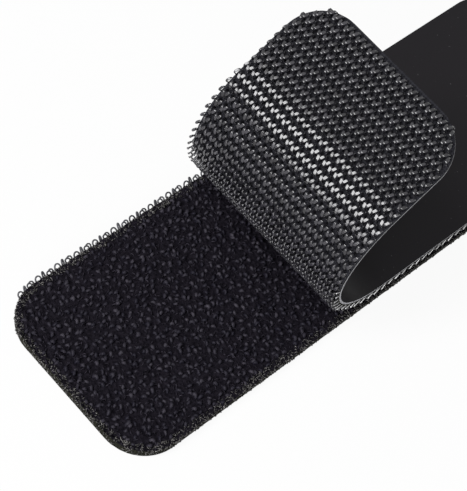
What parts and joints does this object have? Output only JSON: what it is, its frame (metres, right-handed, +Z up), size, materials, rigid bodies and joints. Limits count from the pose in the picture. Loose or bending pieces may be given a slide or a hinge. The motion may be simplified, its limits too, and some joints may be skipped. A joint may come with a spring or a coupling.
{
  "type": "hook and loop tape strip pair",
  "caption": "Pair of black self-adhesive hook-and-loop strips with rounded ends, the hook strip peeled back in a curl from one end of the loop strip.",
  "frame": {"origin": "middle of the loop strip's adhesive face, on the surface it is stuck to", "axes": "+X along the strips from the peeled end to the closed end, +Y across them, +Z up from the adhesive face to the loops and hooks"},
  "size_m": [0.1, 0.03, 0.036],
  "materials": {
    "loop_pile": "matte brushed loops",
    "loop_tape": "matte woven tape",
    "loop_film": "satin film",
    "hook_filament": "semi-gloss nylon strands",
    "hook_tape": "matte woven tape",
    "hook_film": "satin film"
  },
  "bodies": {
    "loop_strip": {"loop_back_film": "loop_film", "loop_ground_tape": "loop_tape", "loop_pile": "loop_pile"},
    "hook_strip_closed": {"hook_back_film_closed": "hook_film", "hook_ground_tape_closed": "hook_tape", "hook_field_closed": "hook_filament"},
    "hook_strip_link_01": {"hook_back_film_link_01": "hook_film", "hook_ground_tape_link_01": "hook_tape", "hook_rows_link_01": "hook_filament"},
    "hook_strip_link_02": {"hook_back_film_link_02": "hook_film", "hook_ground_tape_link_02": "hook_tape", "hook_rows_link_02": "hook_filament"},
    "hook_strip_link_03": {"hook_back_film_link_03": "hook_film", "hook_ground_tape_link_03": "hook_tape", "hook_rows_link_03": "hook_filament"},
    "hook_strip_link_04": {"hook_back_film_link_04": "hook_film", "hook_ground_tape_link_04": "hook_tape", "hook_rows_link_04": "hook_filament"},
    "hook_strip_link_05": {"hook_back_film_link_05": "hook_film", "hook_ground_tape_link_05": "hook_tape", "hook_rows_link_05": "hook_filament"},
    "hook_strip_flap": {"hook_back_film_flap": "hook_film", "hook_ground_tape_flap": "hook_tape", "hook_field_flap": "hook_filament"}
  },
  "joints": [
    {"name": "hook_strip_lift", "type": "slide", "parent": "loop_strip", "child": "hook_strip_closed", "axis": [0, 0, 1], "range_m": [0, 0.02]},
    {"name": "peel_front", "type": "hinge", "parent": "hook_strip_closed", "child": "hook_strip_link_01", "pos_m": [-0.0038, 0, 0.0043], "axis": [0, 1, 0], "range_deg": [-14.7, 3.3]},
    {"name": "peel_bend_01", "type": "hinge", "parent": "hook_strip_link_01", "child": "hook_strip_link_02", "pos_m": [-0.00994, 0, 0.00591], "axis": [0, 1, 0], "range_deg": [-29.4, 6.6]},
    {"name": "peel_bend_02", "type": "hinge", "parent": "hook_strip_link_02", "child": "hook_strip_link_03", "pos_m": [-0.01449, 0, 0.01032], "axis": [0, 1, 0], "range_deg": [-29.4, 6.6]},
    {"name": "peel_bend_03", "type": "hinge", "parent": "hook_strip_link_03", "child": "hook_strip_link_04", "pos_m": [-0.01629, 0, 0.01641], "axis": [0, 1, 0], "range_deg": [-29.4, 6.6]},
    {"name": "peel_bend_04", "type": "hinge", "parent": "hook_strip_link_04", "child": "hook_strip_link_05", "pos_m": [-0.01488, 0, 0.02259], "axis": [0, 1, 0], "range_deg": [-29.4, 6.6]},
    {"name": "peel_bend_05", "type": "hinge", "parent": "hook_strip_link_05", "child": "hook_strip_flap", "pos_m": [-0.01061, 0, 0.02728], "axis": [0, 1, 0], "range_deg": [-14.7, 3.3]}
  ],
  "couplings": [
    {"joint": "peel_bend_01", "follows": "peel_front", "ratio": 2},
    {"joint": "peel_bend_02", "follows": "peel_front", "ratio": 2},
    {"joint": "peel_bend_03", "follows": "peel_front", "ratio": 2},
    {"joint": "peel_bend_04", "follows": "peel_front", "ratio": 2},
    {"joint": "peel_bend_05", "follows": "peel_front", "ratio": 1}
  ]
}
